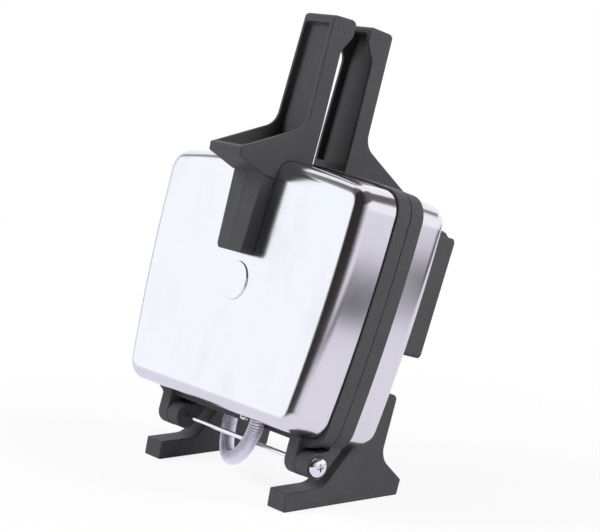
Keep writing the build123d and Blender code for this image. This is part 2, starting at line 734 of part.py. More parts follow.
def conduit_route():
    """Middle line of the conduit, from its lid end to its base end."""
    start_y = cover_base_y + conduit_end_inside
    lid_bend = (conduit_lid_x, conduit_bend_y, conduit_lid_z)
    base_bend = (conduit_base_x, conduit_bend_y, conduit_base_z)
    bend = Bezier(lid_bend, (conduit_lid_x, conduit_bend_y - conduit_lid_pull, conduit_lid_z),
                  (conduit_base_x, conduit_bend_y - conduit_base_pull, conduit_base_z), base_bend)
    return Wire([Line((conduit_lid_x, start_y, conduit_lid_z), lid_bend), bend,
                 Line(base_bend, (conduit_base_x, start_y, conduit_base_z))])


def ring_face(route, share, radius):
    """Circle across the conduit at a share of its length, on a steady X axis."""
    steady = Vector(conduit_lid_z - conduit_base_z, 0, conduit_base_x - conduit_lid_x)
    return Plane(origin=route @ share, x_dir=steady, z_dir=route % share) * Circle(radius)


def make_conduit():
    """Steel conduit from the lid to the base: round ribs side by side, with its bore."""
    route = conduit_route()
    valley = conduit_radius - rib_depth
    step = (1 - 2 * plain_end) / rib_count
    outer = [ring_face(route, 0, valley)]
    for rib in range(rib_count):
        start = plain_end + rib * step
        for place, radius in ((0.0, valley), (0.28, conduit_radius),
                              (0.62, conduit_radius), (0.9, valley)):
            outer.append(ring_face(route, start + place * step, radius))
    outer.append(ring_face(route, 1, valley))
    bore = [ring_face(route, i / bore_steps, conduit_bore) for i in range(bore_steps + 1)]
    return loft(outer, ruled=True) - loft(bore, ruled=True)


def make_bush(depth, x):
    """Bush inside a cover that holds an end of the conduit."""
    outside, inside = cover_base_y, cover_base_y + cover_wall
    bush = rod_y(x, conduit_lid_z, outside, inside + bush_length, conduit_radius + bush_wall)
    bush += rod_y(x, conduit_lid_z, outside, inside + 1.8, conduit_radius + bush_flange)
    bush -= rod_y(x, conduit_lid_z, outside - 1, inside + bush_length + 1, conduit_radius + 0.15)
    return bush & cover_room(depth, 0.1)


def make_cover_screw(x, z):
    """Domed screw through the hinge edge of a cover into the plate's lug."""
    head = Cylinder(cover_screw_head, cover_screw_dome,
                    align=(Align.CENTER, Align.CENTER, Align.MIN))
    head = fillet(head.edges().sort_by(Axis.Z)[-1], cover_screw_dome - 0.6)
    screw = head + rod_z(0, 0, -cover_screw_length, 0.0, cover_screw_radius)
    return Pos(x, cover_base_y - 0.05, z) * Rot(90, 0, 0) * screw


def make_nodes():
    """Every piece by name, lying on its back."""
    plate, shield, heater = make_plate(), make_shield(), make_heater()
    right_x0, left_x0 = foot_starts()
    return {
        "front_frame": make_front_frame(),
        "front_cover": make_front_cover(),
        "front_plate": plate - bush_notch(conduit_lid_x) + cover_screw_lug(lid_screw_x),
        "front_plate_screws": make_plate_screws(),
        "front_heater": heater,
        "front_heat_shield": shield,
        "front_leads": make_front_leads(),
        "front_handle": make_handle(lid_depth),
        "front_handle_screws": make_handle_screws(lid_depth),
        "front_cover_screw": make_cover_screw(lid_screw_x, conduit_lid_z),
        "front_conduit_bush": make_bush(lid_depth, conduit_lid_x),
        "rear_frame": make_rear_frame(),
        "rear_cover": make_rear_cover(),
        "rear_plate": over_back(
            plate - bush_notch(conduit_base_x) + cover_screw_lug(base_screw_x)),
        "rear_plate_screws": over_back(make_plate_screws()),
        "rear_heater": over_back(heater),
        "rear_heat_shield": over_back(shield),
        "rear_leads": make_rear_leads(),
        "rear_handle": over_back(make_handle(base_depth)),
        "rear_handle_screws": over_back(make_handle_screws(base_depth)),
        "rear_cover_screw": make_cover_screw(base_screw_x, conduit_base_z),
        "rear_conduit_bush": over_back(make_bush(base_depth, conduit_base_x)),
        "foot_right": make_foot(right_x0),
        "foot_left": make_foot(left_x0),
        "foot_screws": make_foot_screws(),
        "foot_nuts": make_foot_nuts(),
        "control_box": make_control_box(),
        "control_box_screws": make_box_screws(),
        "thermostat": make_thermostat(),
        "heat_wheel": make_heat_wheel(),
        "terminal_block": make_terminal_block(),
        "cord_gland": make_cord_gland(),
        "hinge_rod": make_hinge_rod(),
        "hinge_rod_heads": make_rod_heads(),
        "conduit": make_conduit(),
    }


def stand_up(nodes):
    """Stand the lying assembly on its feet, with the origin under the middle of its box."""
    upright = {name: Rot(90 - lean_back, 0, 0) * shape for name, shape in nodes.items()}
    boxes = [shape.bounding_box() for shape in upright.values()]
    low = [min(tuple(box.min)[axis] for box in boxes) for axis in range(3)]
    high = [max(tuple(box.max)[axis] for box in boxes) for axis in range(3)]
    print("size", [round(top - bottom, 2) for top, bottom in zip(high, low)])
    shift = Pos(-(low[0] + high[0]) / 2, -(low[1] + high[1]) / 2, -low[2])
    return {name: shift * shape for name, shape in upright.items()}, shift


def main():
    os.makedirs("parts", exist_ok=True)
    standing, shift = stand_up(make_nodes())
    for name, shape in standing.items():
        export_step(shape, f"parts/{name}.step")
    stand = shift * Rot(90 - lean_back, 0, 0)
    for label, point in (("hinge", (0, hinge_y, hinge_z)), ("wheel", (wheel_x, wheel_y, wheel_z)),
                         ("gland", (gland_x, box_y0 - 8, gland_z)),
                         ("toe", (foot_outer_x - foot_width / 2, toe_low_y, toe_low_z))):
        place = (stand * Pos(*point)).position
        print(label, [round(value, 3) for value in place])


main()
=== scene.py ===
from bisect import bisect
import json
import math

import bmesh
import bpy
from bpy.props import FloatProperty, FloatVectorProperty, IntProperty, PointerProperty
from mathutils import Matrix, Vector
from mathutils.geometry import interpolate_bezier


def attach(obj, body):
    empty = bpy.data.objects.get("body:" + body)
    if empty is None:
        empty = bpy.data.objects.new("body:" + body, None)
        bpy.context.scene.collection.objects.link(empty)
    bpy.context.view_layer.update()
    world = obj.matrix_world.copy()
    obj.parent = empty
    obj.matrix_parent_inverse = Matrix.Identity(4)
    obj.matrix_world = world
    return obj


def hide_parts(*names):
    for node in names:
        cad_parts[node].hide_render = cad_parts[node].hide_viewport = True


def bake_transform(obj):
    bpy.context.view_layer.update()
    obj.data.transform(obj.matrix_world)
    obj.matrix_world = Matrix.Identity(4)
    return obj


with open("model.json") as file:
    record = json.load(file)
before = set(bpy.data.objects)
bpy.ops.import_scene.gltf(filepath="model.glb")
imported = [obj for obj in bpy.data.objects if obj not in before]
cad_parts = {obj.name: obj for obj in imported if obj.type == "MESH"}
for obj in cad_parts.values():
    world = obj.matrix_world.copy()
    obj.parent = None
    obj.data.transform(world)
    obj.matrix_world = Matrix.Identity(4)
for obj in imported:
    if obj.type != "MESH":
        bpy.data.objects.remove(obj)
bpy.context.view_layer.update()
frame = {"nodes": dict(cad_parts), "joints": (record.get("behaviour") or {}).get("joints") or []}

bl_info = {
    "name": "Electric Waffle Maker",
    "version": (1, 0, 0),
    "blender": (4, 5, 0),
    "location": "3D View > Sidebar > Waffle maker",
    "description": "Finishes the upright waffle maker's pieces and sets its studio",
    "category": "Object",
}

MM = 0.001
LEAN = math.radians(15.94)
HINGE_LYING = (0.0, -103.6, 6.4)

# Screws and rod heads, in millimetres, counts and shares of the head.
AXIS_RADIUS = 0.02
HEAD_SIDES = 40
CROWN_STEPS = 10
CROWN_SHARE = 0.55
RECESS_SHARE = 0.62
HEAD_CHAMFER = 0.12
SHANK_SIDES = 20
SHANK_START = 0.3
SCREW_PITCH = 0.8
ROD_HEAD_SIDES = 56
ROD_HEAD_STEPS = 14
ROD_HEAD_RIM = 1.2
ROD_HEAD_CHAMFER = 0.25

# Conduit's winding, and the points along its bend.
ROWS_PER_TURN = 6
LINE_POINTS = 500

# Studio, in metres.
FLOOR_RADIUS = 4.0
LAMP_AIM = Vector((0.0, 0.0, 0.16))
WHITE = (1.0, 1.0, 1.0, 1.0)

# Directions of the body as it leans: along the hinge, up the body and out of the lid.
ALONG = Vector((1.0, 0.0, 0.0))
UP = Vector((0.0, math.sin(LEAN), math.cos(LEAN)))
OUT = Vector((0.0, -math.cos(LEAN), math.sin(LEAN)))
HINGE = Vector(next(j["pos_m"] for j in frame["joints"] if j["name"] == "lid_hinge"))
BODY = Matrix((ALONG, UP, OUT)).transposed().to_4x4()
BODY.translation = HINGE - UP * HINGE_LYING[1] * MM - OUT * HINGE_LYING[2] * MM


def place(x, y, z):
    """World point of a point given in millimetres in the body's own directions."""
    return BODY @ (Vector((x, y, z)) * MM)


# Shader building

class Wire:
    """One output of a node, so that shader maths is written as plain sums."""

    def __init__(self, paint, socket):
        self.paint = paint
        self.socket = socket

    def maths(self, operation, first, second=None):
        """Result of one sum on one or two values."""
        values = {0: first} if second is None else {0: first, 1: second}
        return self.paint.node("Math", {"operation": operation}, values)

    def __add__(self, other):
        return self.maths("ADD", self, other)

    def __sub__(self, other):
        return self.maths("SUBTRACT", self, other)

    def __rsub__(self, other):
        return self.maths("SUBTRACT", other, self)

    def __mul__(self, other):
        return self.maths("MULTIPLY", self, other)

    def __truediv__(self, other):
        return self.maths("DIVIDE", self, other)

    __radd__ = __add__
    __rmul__ = __mul__

    def wave(self):
        """Sine of the value."""
        return self.maths("SINE", self)

    def ramp(self, low, high):
        """Smooth step from 0 at low to 1 at high."""
        return self.paint.node("MapRange", {"interpolation_type": "SMOOTHSTEP"},
                               {"Value": self, "From Min": low, "From Max": high})


class Paint:
    """Nodes of one material or of the world."""

    def __init__(self, owner):
        owner.use_nodes = True
        self.owner = owner
        self.tree = owner.node_tree
        self.tree.nodes.clear()

    def node(self, kind, settings=None, values=None, out=0):
        """Output of a new node with its settings and its values or wires."""
        made = self.tree.nodes.new("ShaderNode" + kind)
        for name, value in (settings or {}).items():
            setattr(made, name, value)
        for name, value in (values or {}).items():
            if isinstance(value, Wire):
                self.tree.links.new(value.socket, made.inputs[name])
            else:
                made.inputs[name].default_value = value
        return Wire(self, made.outputs[out]) if len(made.outputs) else None

    def mix(self, share, first, second):
        """Colour between two, by share."""
        return self.node("Mix", {"data_type": "RGBA"}, {0: share, 6: first, 7: second}, out=2)

    def body_place(self, stretch=(1.0, 1.0, 1.0)):
        """Place on the piece in the body's own directions, stretched along each."""
        where = self.node("TexCoord", out="Object")
        turned = self.node("Mapping", {}, {"Vector": where, "Rotation": (LEAN - math.pi / 2, 0, 0)})
        return self.node("VectorMath", {"operation": "MULTIPLY"}, {0: turned, 1: stretch})

    def noise(self, where, scale, detail=2.0, roughness=0.5):
        """Cloudy value between 0 and 1."""
        return self.node("TexNoise", {}, {"Vector": where, "Scale": scale, "Detail": detail,
                                          "Roughness": roughness})

    def bump(self, height, distance, normal=None):
        """Normal raised and sunk by a height, over another normal if one is given."""
        values = {"Height": height, "Distance": distance, "Strength": 1.0}
        if normal is not None:
            values["Normal"] = normal
        return self.node("Bump", {}, values)

    def soft_edges(self, radius):
        """Normal that rounds each sharp edge over a radius, and how near an edge lies."""
        rounded = self.node("Bevel", {"samples": 6}, {"Radius": radius})
        plain = self.node("NewGeometry", out="Normal")
        alike = self.node("VectorMath", {"operation": "DOT_PRODUCT"}, {0: rounded, 1: plain},
                          out="Value")
        return rounded, (1.0 - alike).ramp(0.01, 0.22)

    def surface(self, **values):
        """Finished material, from the surface values by name."""
        named = {name.replace("_", " ").title().replace("Ior", "IOR"): value
                 for name, value in values.items()}
        shader = self.node("BsdfPrincipled", {}, named)
        self.node("OutputMaterial", {}, {"Surface": shader})
        return self.owner


def new_paint(name):
    """Paint for a new material."""
    return Paint(bpy.data.materials.new(name))


def shade(colour, factor):
    """A colour made lighter or darker, with full alpha."""
    return tuple(min(1.0, part * factor) for part in colour[:3]) + (1.0,)


def brushed_steel(name, colour, roughness, grain):
    """Satin pressed steel: fine lines along the hinge, slight waves and faint smears."""
    paint = new_paint(name)
    lines = paint.noise(paint.body_place((0.02, 1.0, 1.0)), grain, 3.0, 0.6)
    waves = paint.noise(paint.body_place(), 9.0, 1.0)
    smears = paint.noise(paint.body_place((1.0, 0.5, 1.0)), 34.0, 4.0, 0.65).ramp(0.45, 0.8)
    tone = paint.mix(lines, shade(colour, 0.95), shade(colour, 1.04))
    worn = paint.mix(smears * 0.5, tone, shade(colour, 0.93))
    fine = paint.bump(lines, 0.000004)
    normal = paint.bump(waves, 0.00035, fine)
    return paint.surface(base_color=worn, metallic=1.0, normal=normal,
                         roughness=roughness + (lines - 0.5) * 0.06 + smears * 0.05)


def dark_moulding(name, colour, roughness, grain):
    """Heat-proof moulding with a fine spark texture, softened edges, and edges lightened partly by
    rubbing and partly by a painted highlight.
    """
    paint = new_paint(name)
    where = paint.body_place()
    spark = paint.noise(where, grain, 4.0, 0.7)
    patches = paint.noise(where, 45.0, 3.0)
    rounded, edge = paint.soft_edges(0.0011)
    # Lighter near the edges: partly rubbing, partly a painted highlight along the rims.
    rubbing_and_edge_highlight = (edge * (0.45 + patches * 0.6)).ramp(0.1, 0.85)
    tone = paint.mix(patches, shade(colour, 0.8), shade(colour, 1.22))
    speck = paint.mix(spark.ramp(0.38, 0.66) * 0.45, tone, shade(colour, 1.7))
    # Edges lightened towards 3.2 times the colour: a painted highlight as well as rubbing.
    worn = paint.mix(rubbing_and_edge_highlight * 0.8, speck, shade(colour, 3.2))
    return paint.surface(base_color=worn, normal=paint.bump(spark, 0.00012, rounded),
                         specular_ior_level=0.13,
                         roughness=roughness + (patches - 0.5) * 0.12 - rubbing_and_edge_highlight * 0.08
                         + (spark - 0.5) * 0.1)


def coated_cast(name, colour, roughness):
    """Cast cooking plate under a dark coating, a little worn on its high edges."""
    paint = new_paint(name)
    where = paint.body_place()
    cast = paint.noise(where, 700.0, 4.0, 0.6)
    stain = paint.noise(where, 30.0, 5.0, 0.6).ramp(0.35, 0.7)
    rounded, edge = paint.soft_edges(0.0007)
    tone = paint.mix(stain, shade(colour, 0.85), shade(colour, 1.5))
    worn = paint.mix(edge * stain, tone, (0.26, 0.25, 0.24, 1.0))
    return paint.surface(base_color=worn, metallic=0.35, normal=paint.bump(cast, 0.00006, rounded),
                         roughness=roughness + stain * 0.15 + (cast - 0.5) * 0.1)


def heater_sheath(name, colour):
    """Steel sheath browned by heat in bands."""
    paint = new_paint(name)
    where = paint.body_place()
    bands = paint.noise(where, 14.0, 3.0).ramp(0.35, 0.7)
    fine = paint.noise(where, 900.0, 2.0)
    tone = paint.mix(bands, shade(colour, 1.0), (0.24, 0.17, 0.12, 1.0))
    blued = paint.mix(paint.noise(where, 22.0, 2.0).ramp(0.55, 0.75) * 0.5, tone,
                      (0.20, 0.22, 0.33, 1.0))
    return paint.surface(base_color=blued, metallic=0.9, roughness=0.34 + bands * 0.2,
                         normal=paint.bump(fine, 0.00002))


def bright_metal(name, colour, roughness, grain=1500.0):
    """Plated or polished metal with fine turning marks and slight dulling."""
    paint = new_paint(name)
    where = paint.body_place()
    fine = paint.noise(where, grain, 3.0, 0.6)
    dull = paint.noise(where, 90.0, 4.0, 0.6).ramp(0.45, 0.75)
    tone = paint.mix(dull * 0.6, shade(colour, 1.03), shade(colour, 0.8))
    return paint.surface(base_color=tone, metallic=1.0, normal=paint.bump(fine, 0.000006),
                         roughness=roughness + dull * 0.12 + (fine - 0.5) * 0.05)


def wound_steel(name, colour, roughness):
    """Wound strip of the conduit: bright on the ridges, dull in the valleys and darkened there by
    painted shade.
    """
    paint = new_paint(name)
    where = paint.body_place()
    valley = paint.node("Attribute", {"attribute_name": "valley"}, out="Fac")
    dull = paint.noise(where, 160.0, 4.0, 0.6).ramp(0.4, 0.75)
    tone = paint.mix(dull * 0.5, shade(colour, 1.05), shade(colour, 0.75))
    # Painted shade: the valleys between turns darkened towards 0.12 of the colour.
    dark = paint.mix(valley.ramp(0.25, 0.95) * 0.95, tone, shade(colour, 0.12))
    fine = paint.noise(where, 2200.0, 2.0)
    return paint.surface(base_color=dark, metallic=1.0, normal=paint.bump(fine, 0.000006),
                         roughness=roughness + valley * 0.25 + dull * 0.1)


def woven_sleeve(name, colour):
    """Woven glass sleeve of a wire inside the covers."""
    paint = new_paint(name)
    where = paint.body_place()
    x, y, z = (paint.node("SeparateXYZ", {}, {"Vector": where}, out=name) for name in "XYZ")
    one = ((x + y + z) * 6500.0).wave()
    two = ((x - y + z) * 6500.0).wave()
    weave = (one * two) * 0.5 + 0.5
    fuzz = paint.noise(where, 1200.0, 3.0)
    tone = paint.mix(weave * 0.6 + fuzz * 0.4, shade(colour, 0.72), shade(colour, 1.06))
    return paint.surface(base_color=tone, roughness=0.78 + fuzz * 0.15,
                         normal=paint.bump(weave, 0.00008))


def glazed_ceramic(name, colour):
    """Pale steatite with a thin uneven glaze."""
    paint = new_paint(name)
    where = paint.body_place()
    cloud = paint.noise(where, 60.0, 4.0)
    pores = paint.noise(where, 1400.0, 2.0).ramp(0.62, 0.74)
    tone = paint.mix(cloud, shade(colour, 0.92), shade(colour, 1.04))
    pitted = paint.mix(pores * 0.5, tone, shade(colour, 0.55))
    return paint.surface(base_color=pitted, roughness=0.32 + cloud * 0.14 + pores * 0.2,
                         normal=paint.bump(cloud, 0.0001, paint.bump(pores, 0.00003)))


def smooth_plastic(name, colour, roughness):
    """Plain moulded plastic or rubber with a faint orange-peel surface."""
    paint = new_paint(name)
    where = paint.body_place()
    peel = paint.noise(where, 420.0, 2.0)
    dust = paint.noise(where, 70.0, 5.0, 0.7).ramp(0.5, 0.8)
    rounded, edge = paint.soft_edges(0.0005)
    tone = paint.mix(dust * 0.4 + edge * 0.3, shade(colour, 1.0), shade(colour, 1.9))
    return paint.surface(base_color=tone, normal=paint.bump(peel, 0.00004, rounded),
                         roughness=roughness + dust * 0.15 + (peel - 0.5) * 0.08)


# Mesh building

def new_piece(name, mesh, body, material, replaced=()):
    """Object for a finished mesh that rides on a body and takes over CAD nodes."""
    piece = bpy.data.objects.new(name, mesh)
    bpy.context.scene.collection.objects.link(piece)
    mesh.materials.append(material)
    if body:
        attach(piece, body)
    if replaced:
        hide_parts(*replaced)
    return piece


def coat(material, *names):
    """Gives carried-over nodes a material."""
    for name in names:
        slots = frame["nodes"][name].data.materials
        if len(slots):
            for index in range(len(slots)):
                slots[index] = material
        else:
            slots.append(material)


def solids_of(node):
    """Points of each solid of a node, in millimetres in the body's own directions."""
    mesh = bmesh.new()
    mesh.from_mesh(frame["nodes"][node].data)
    bmesh.ops.remove_doubles(mesh, verts=mesh.verts, dist=1e-6)
    left, found = set(mesh.verts), []
    to_body = BODY.inverted()
    while left:
        grown, edge = set(), [next(iter(left))]
        while edge:
            vertex = edge.pop()
            if vertex in grown:
                continue
            grown.add(vertex)
            edge.extend(link.other_vert(vertex) for link in vertex.link_edges)
        left -= grown
        found.append([(to_body @ vertex.co) / MM for vertex in grown])
    mesh.free()
    return sorted(found, key=lambda points: tuple(round(value, 1) for value in points_low(points)))


def points_low(points):
    """Lowest corner of the box round some points."""
    return Vector(min(point[axis] for point in points) for axis in range(3))


def points_high(points):
    """Highest corner of the box round some points."""
    return Vector(max(point[axis] for point in points) for axis in range(3))


def grid_mesh(rows, sides, point):
    """Tube-like closed mesh: rows of points round an axis, each from point(row, side)."""
    mesh = bmesh.new()
    rings = [[mesh.verts.new(point(row, side)) for side in range(sides)] for row in range(rows)]
    for lower, upper in zip(rings, rings[1:]):
        for side in range(sides):
            after = (side + 1) % sides
            mesh.faces.new((lower[side], lower[after], upper[after], upper[side]))
    for ring in (rings[0], rings[-1]):
        middle = mesh.verts.new(sum((vertex.co for vertex in ring), Vector()) / sides)
        for side in range(sides):
            mesh.faces.new((ring[side], ring[(side + 1) % sides], middle))
    bmesh.ops.recalc_face_normals(mesh, faces=mesh.faces)
    return mesh


def lathe(profile, sides):
    """Closed turned shape about Z from (radius, height) pairs."""
    def point(row, side):
        radius, height = profile[row]
        turn = 2 * math.pi * side / sides
        return Vector((radius * math.cos(turn), radius * math.sin(turn), height))
    return grid_mesh(len(profile), sides, point)


def to_mesh(source, name, smooth_angle=math.radians(38)):
    """Blender mesh from a bmesh, shaded smooth except across sharp edges."""
    for face in source.faces:
        face.smooth = True
    for edge in source.edges:
        if len(edge.link_faces) == 2 and edge.calc_face_angle(0.0) > smooth_angle:
            edge.smooth = False
    mesh = bpy.data.meshes.new(name)
    source.to_mesh(mesh)
    source.free()
    return mesh


def cut_away(mesh, cutter):
    """Mesh less a cutter, through an exact boolean that is then applied."""
    body = bpy.data.objects.new("body_being_cut", mesh)
    tool = bpy.data.objects.new("cutting_tool", cutter)
    for item in (body, tool):
        bpy.context.scene.collection.objects.link(item)
    cut = body.modifiers.new("cut", "BOOLEAN")
    cut.operation, cut.solver, cut.object = "DIFFERENCE", "EXACT", tool
    cut.use_self = True
    bpy.context.view_layer.update()
    done = bpy.data.meshes.new_from_object(
        body.evaluated_get(bpy.context.evaluated_depsgraph_get()))
    for item in (body, tool):
        bpy.data.objects.remove(item)
    return done


def cross_cutter(width, span, depth, top):
    """Tapering cross that a screwdriver leaves in a head, pointing down from top."""
    mesh = bmesh.new()
    for turn in (0.0, math.pi / 2):
        corners = []
        for height, half_span, half_width in ((top + 1.0, span / 2 + 0.35, width / 2 + 0.06),
                                              (top - depth, span / 5, width / 3)):
            ring = []
            for x, y in ((-1, -1), (1, -1), (1, 1), (-1, 1)):
                spot = Vector((x * half_span, y * half_width, height))
                ring.append(mesh.verts.new(Matrix.Rotation(turn, 3, "Z") @ spot))
            corners.append(ring)
        upper, lower = corners
        mesh.faces.new(upper)
        mesh.faces.new(lower[::-1])
        for side in range(4):
            after = (side + 1) % 4
            mesh.faces.new((upper[side], lower[side], lower[after], upper[after]))
    bmesh.ops.recalc_face_normals(mesh, faces=mesh.faces)
    cutter = bpy.data.meshes.new("cross")
    mesh.to_mesh(cutter)
    mesh.free()
    return cutter


def screw_mesh(head_radius, head_height, shank_radius, shank_length):
    """Screw along Z in millimetres: cross-recessed head above 0 and threaded shank below."""
    crown = head_height * CROWN_SHARE
    head = [(AXIS_RADIUS, head_height)]
    for step in range(1, CROWN_STEPS + 1):
        turn = math.pi / 2 * step / CROWN_STEPS
        head.append((head_radius * math.sin(turn) ** 0.7,
                     head_height - crown * (1 - math.cos(turn))))
    head += [(head_radius, HEAD_CHAMFER), (head_radius - HEAD_CHAMFER, 0.0),
             (shank_radius, 0.0), (shank_radius, -0.35)]
    top = to_mesh(lathe(head, HEAD_SIDES), "screw_head")
    top = cut_away(top, cross_cutter(head_radius * 0.26, head_radius * 1.15,
                                     head_height * RECESS_SHARE, head_height))
    rows = max(8, int(shank_length / SCREW_PITCH * 4))

    def point(row, side):
        height = -SHANK_START - (shank_length - SHANK_START) * row / (rows - 1)
        turn = 2 * math.pi * side / SHANK_SIDES
        phase = (height / SCREW_PITCH - side / SHANK_SIDES) % 1.0
        radius = shank_radius * (0.84 + 0.15 * abs(2 * phase - 1))
        if row == rows - 1:
            radius = shank_radius * 0.6
        return Vector((radius * math.cos(turn), radius * math.sin(turn), height))

    whole = bmesh.new()
    whole.from_mesh(top)
    whole.from_mesh(to_mesh(grid_mesh(rows, SHANK_SIDES, point), "shank"))
    return to_mesh(whole, "screw")


def screws_for(node, axis, body, material):
    """Replaces a node's plain screws by recessed and threaded ones of the same size."""
    joined = bmesh.new()
    for points in solids_of(node):
        low, high = points_low(points), points_high(points)
        across = [index for index in range(3) if index != axis]
        middle = (low + high) / 2
        length = high[axis] - low[axis]

        def from_axis(point):
            return math.hypot(*(point[i] - middle[i] for i in across))

        def reach(level):
            """Radius at one level along the screw."""
            return max(from_axis(point) for point in points
                       if abs(point[axis] - level) < length * 0.02 + 0.05)

        head_radius = max(from_axis(point) for point in points)
        wide = [point[axis] for point in points if from_axis(point) > head_radius * 0.95]
        head_up = abs(max(wide) - high[axis]) < abs(min(wide) - low[axis])
        seat = min(wide) if head_up else max(wide)
        head_height = (high[axis] - seat) if head_up else (seat - low[axis])
        shank_radius = reach(low[axis] if head_up else high[axis])
        made = screw_mesh(head_radius, head_height, min(shank_radius, head_radius * 0.55),
                          max(length - head_height, 1.0))
        middle[axis] = seat
        facing = Vector((0, 0, 0))
        facing[axis] = 1.0 if head_up else -1.0
        turn = facing.to_track_quat("Z", "Y").to_matrix().to_4x4()
        spin = Matrix.Rotation(0.5 + 1.7 * len(joined.verts) % 3, 4, "Z")
        made.transform(BODY @ Matrix.Scale(MM, 4) @ Matrix.Translation(middle) @ turn @ spin)
        joined.from_mesh(made)
    return new_piece(node + "_detailed", to_mesh(joined, node), body, material, (node,))


def conduit_line():
    """Middle line of the conduit in millimetres, from its end in the lid to its end in the base."""
    lid, base = (39.6, 18.5), (-43.7, -18.5)
    inside_y, bend_y, lid_pull, base_pull = -82.5, -88.0, 24.5, 60.3

    def spot(end, y):
        return Vector((end[0], y, end[1]))

    bend = interpolate_bezier(spot(lid, bend_y), spot(lid, bend_y - lid_pull),
                              spot(base, bend_y - base_pull), spot(base, bend_y), LINE_POINTS)
    return [spot(lid, inside_y)] + bend + [spot(base, inside_y)]


# Sizes and colours that a user may change

class SteelLook(bpy.types.PropertyGroup):
    """Finish of the covers."""
    colour: FloatVectorProperty(
        name="Steel colour", description="Reflected colour of the covers", subtype="COLOR",
        size=3, min=0.0, max=1.0, default=(0.79, 0.785, 0.81))
    roughness: FloatProperty(
        name="Roughness", description="Spread of the covers' reflections", min=0.02, max=0.8,
        default=0.17)
    grain: FloatProperty(
        name="Grain", description="Lines of the brushing across one metre", min=100.0,
        default=2600.0)


class MouldingLook(bpy.types.PropertyGroup):
    """Finish of the frames, handles, feet and control box."""
    colour: FloatVectorProperty(
        name="Moulding colour", description="Colour of the dark mouldings", subtype="COLOR",
        size=3, min=0.0, max=1.0, default=(0.062, 0.062, 0.064))
    roughness: FloatProperty(
        name="Roughness", description="Dullness of the mouldings", min=0.1, max=1.0,
        default=0.5)
    grain: FloatProperty(
        name="Texture", description="Texture grains across one metre", min=100.0,
        default=950.0)


class CookingLook(bpy.types.PropertyGroup):
    """Finish of the cooking plates, heaters and shields."""
    coating: FloatVectorProperty(
        name="Coating colour", description="Colour of the plates' coating", subtype="COLOR",
        size=3, min=0.0, max=1.0, default=(0.05, 0.05, 0.052))
    sheath: FloatVectorProperty(
        name="Sheath colour", description="Colour of the heaters' sheaths", subtype="COLOR",
        size=3, min=0.0, max=1.0, default=(0.36, 0.34, 0.32))
    shield: FloatVectorProperty(
        name="Shield colour", description="Colour of the heat shields", subtype="COLOR",
        size=3, min=0.0, max=1.0, default=(0.74, 0.74, 0.75))


class FittingLook(bpy.types.PropertyGroup):
    """Finish of the rod, screws, conduit, wires and small fittings."""
    bright: FloatVectorProperty(
        name="Plating colour", description="Colour of the rod and the screws",
        subtype="COLOR", size=3, min=0.0, max=1.0, default=(0.85, 0.85, 0.87))
    wound: FloatVectorProperty(
        name="Conduit colour", description="Colour of the wound strip", subtype="COLOR",
        size=3, min=0.0, max=1.0, default=(0.88, 0.87, 0.94))
    sleeve: FloatVectorProperty(
        name="Sleeve colour", description="Colour of the wires' sleeves", subtype="COLOR",
        size=3, min=0.0, max=1.0, default=(0.80, 0.77, 0.70))
    ceramic: FloatVectorProperty(
        name="Ceramic colour", description="Colour of the ceramic bodies", subtype="COLOR",
        size=3, min=0.0, max=1.0, default=(0.82, 0.80, 0.73))
    dark: FloatVectorProperty(
        name="Small parts colour", description="Colour of the wheel and bushes",
        subtype="COLOR", size=3, min=0.0, max=1.0, default=(0.022, 0.022, 0.023))


class ConduitSizes(bpy.types.PropertyGroup):
    """Sizes of the conduit's winding."""
    radius: FloatProperty(
        name="Radius", description="Outer radius of the conduit, in millimetres", min=2.0,
        max=5.5, default=5.45)
    pitch: FloatProperty(
        name="Pitch", description="Length of one turn of the strip, in millimetres", min=0.5,
        max=4.0, default=1.5)
    groove: FloatProperty(
        name="Groove", description="Depth between turns, in millimetres", min=0.05, max=1.0,
        default=0.62)
    sides: IntProperty(
        name="Sides", description="Points round the conduit", min=12, max=64, default=30)


class StudioLook(bpy.types.PropertyGroup):
    """Camera, lamps and room light."""
    camera_place: FloatVectorProperty(
        name="Camera place", description="Where the camera stands", subtype="TRANSLATION",
        unit="LENGTH", size=3, default=(1.20743, -0.86524, 0.39546))
    camera_turn: FloatVectorProperty(
        name="Camera turn", description="How the camera is turned", subtype="EULER",
        unit="ROTATION", size=3,
        default=(math.radians(80.6398), math.radians(-1.8793), math.radians(54.7099)))
    lens: FloatProperty(
        name="Lens", description="Focal length for a 36 mm wide sensor, in millimetres",
        min=10.0, default=125.556)
    key_power: FloatProperty(
        name="Key lamp", description="Power of the large soft lamp", unit="POWER", min=0.0,
        default=58.0)
    fill_power: FloatProperty(
        name="Fill lamp", description="Power of the lamp on the other side", unit="POWER",
        min=0.0, default=50.0)
    room_light: FloatProperty(
        name="Room light", description="Strength of the even light from all round", min=0.0,
        default=0.07)


# Operators

class FinishCovers(bpy.types.Operator):
    """Give both covers their pressed and brushed steel."""
    bl_idname = "waffle.finish_covers"
    bl_label = "Covers"

    def execute(self, context):
        look = context.scene.waffle_steel
        steel = brushed_steel("cover steel", look.colour, look.roughness, look.grain)
        coat(steel, "front_cover", "rear_cover")
        return {"FINISHED"}


class FinishMouldings(bpy.types.Operator):
    """Give the frames, handles, feet and control box their dark texture."""
    bl_idname = "waffle.finish_mouldings"
    bl_label = "Frames, handles, feet and box"

    def execute(self, context):
        look = context.scene.waffle_moulding
        moulding = dark_moulding("dark moulding", look.colour, look.roughness, look.grain)
        coat(moulding, "front_frame", "rear_frame", "front_handle", "rear_handle",
             "foot_left", "foot_right", "control_box")
        return {"FINISHED"}


